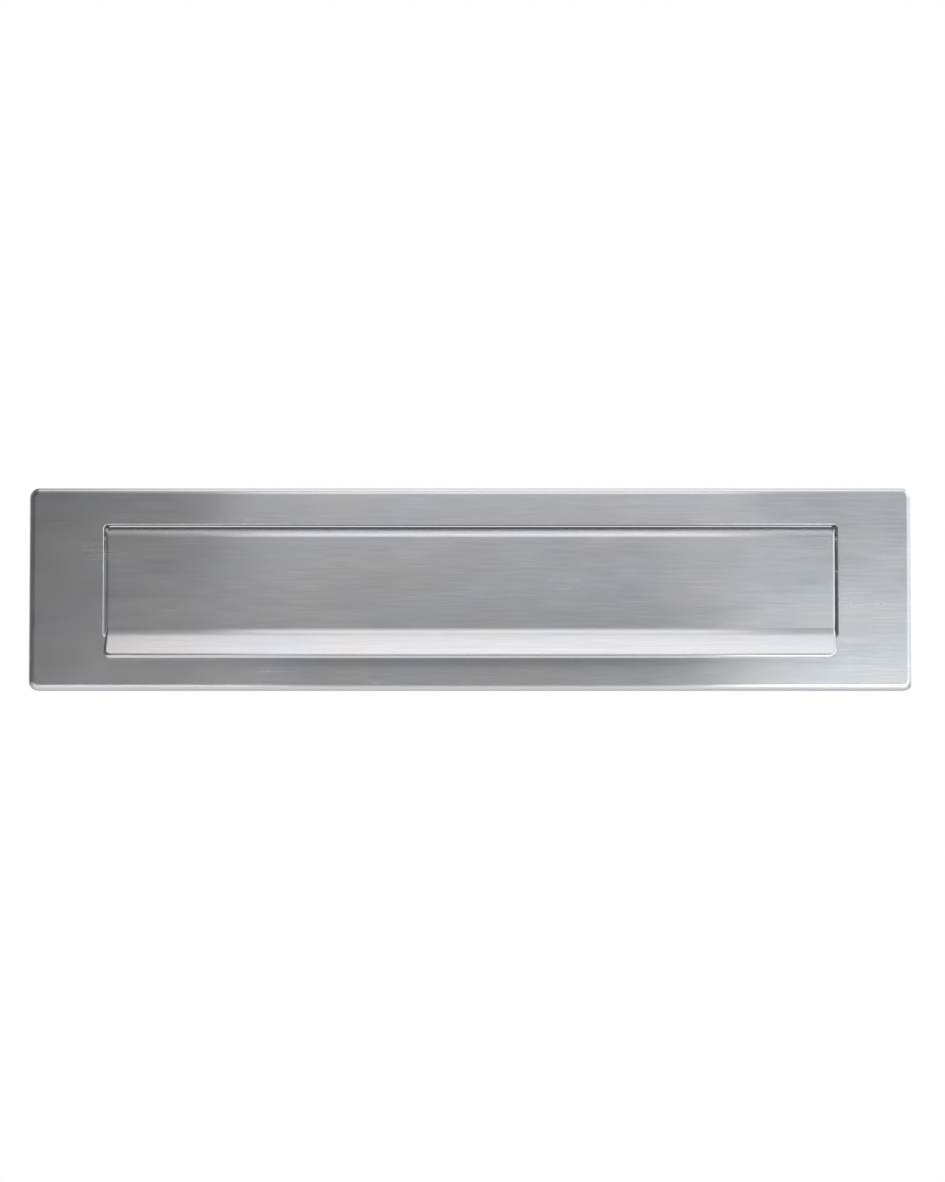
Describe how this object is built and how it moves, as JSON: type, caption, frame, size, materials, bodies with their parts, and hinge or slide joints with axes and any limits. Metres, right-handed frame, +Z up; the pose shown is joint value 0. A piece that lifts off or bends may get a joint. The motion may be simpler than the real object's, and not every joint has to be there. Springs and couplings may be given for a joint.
{
  "type": "letter plate",
  "caption": "Sprung letter plate for a door: pressed tray with a folded-back aperture and an outward lift flap with a rolled top and flared finger lip, bolted through the door from behind.",
  "frame": {"origin": "centre of the two fixing studs, on the plate's back rim, which lies on the door's outer face", "axes": "+X to the right as seen from the street side, +Z up, +Y into the door; the front faces -Y"},
  "size_m": [0.34, 0.07, 0.078],
  "materials": {
    "plate_steel": "satin, brushed along X",
    "flap_steel": "satin, brushed along X",
    "pin_steel": "bright drawn bar",
    "spring_wire": "bright drawn spring wire",
    "clip_steel": "bright sprung strip",
    "boss_steel": "turned",
    "zinc_steel": "bright zinc plated",
    "nylon": "natural nylon",
    "buffer_rubber": "matt",
    "gasket_foam": "closed-cell foam"
  },
  "bodies": {
    "plate": {"face_plate": "plate_steel", "hinge_pin": "pin_steel", "closing_spring": "spring_wire", "pin_clip_left": "clip_steel", "pin_clip_right": "clip_steel", "weld_boss_left": "boss_steel", "weld_boss_right": "boss_steel", "fixing_stud_left": "zinc_steel", "fixing_stud_right": "zinc_steel", "door_washer_left": "zinc_steel", "door_washer_right": "zinc_steel", "fixing_nut_left": "zinc_steel", "fixing_nut_right": "zinc_steel", "flap_buffer_left": "buffer_rubber", "flap_buffer_right": "buffer_rubber", "weather_gasket": "gasket_foam"},
    "flap": {"flap": "flap_steel", "hinge_bush_left": "nylon", "hinge_bush_centre": "nylon", "hinge_bush_right": "nylon"}
  },
  "joints": [
    {"name": "flap_hinge", "type": "hinge", "parent": "plate", "child": "flap", "pos_m": [0, -0.0016, 0.0199], "axis": [-1, 0, 0], "range_deg": [0, 95], "stiffness_Nm_per_rad": 0.06, "springref_deg": -57.3, "deforming": ["closing_spring"]}
  ]
}
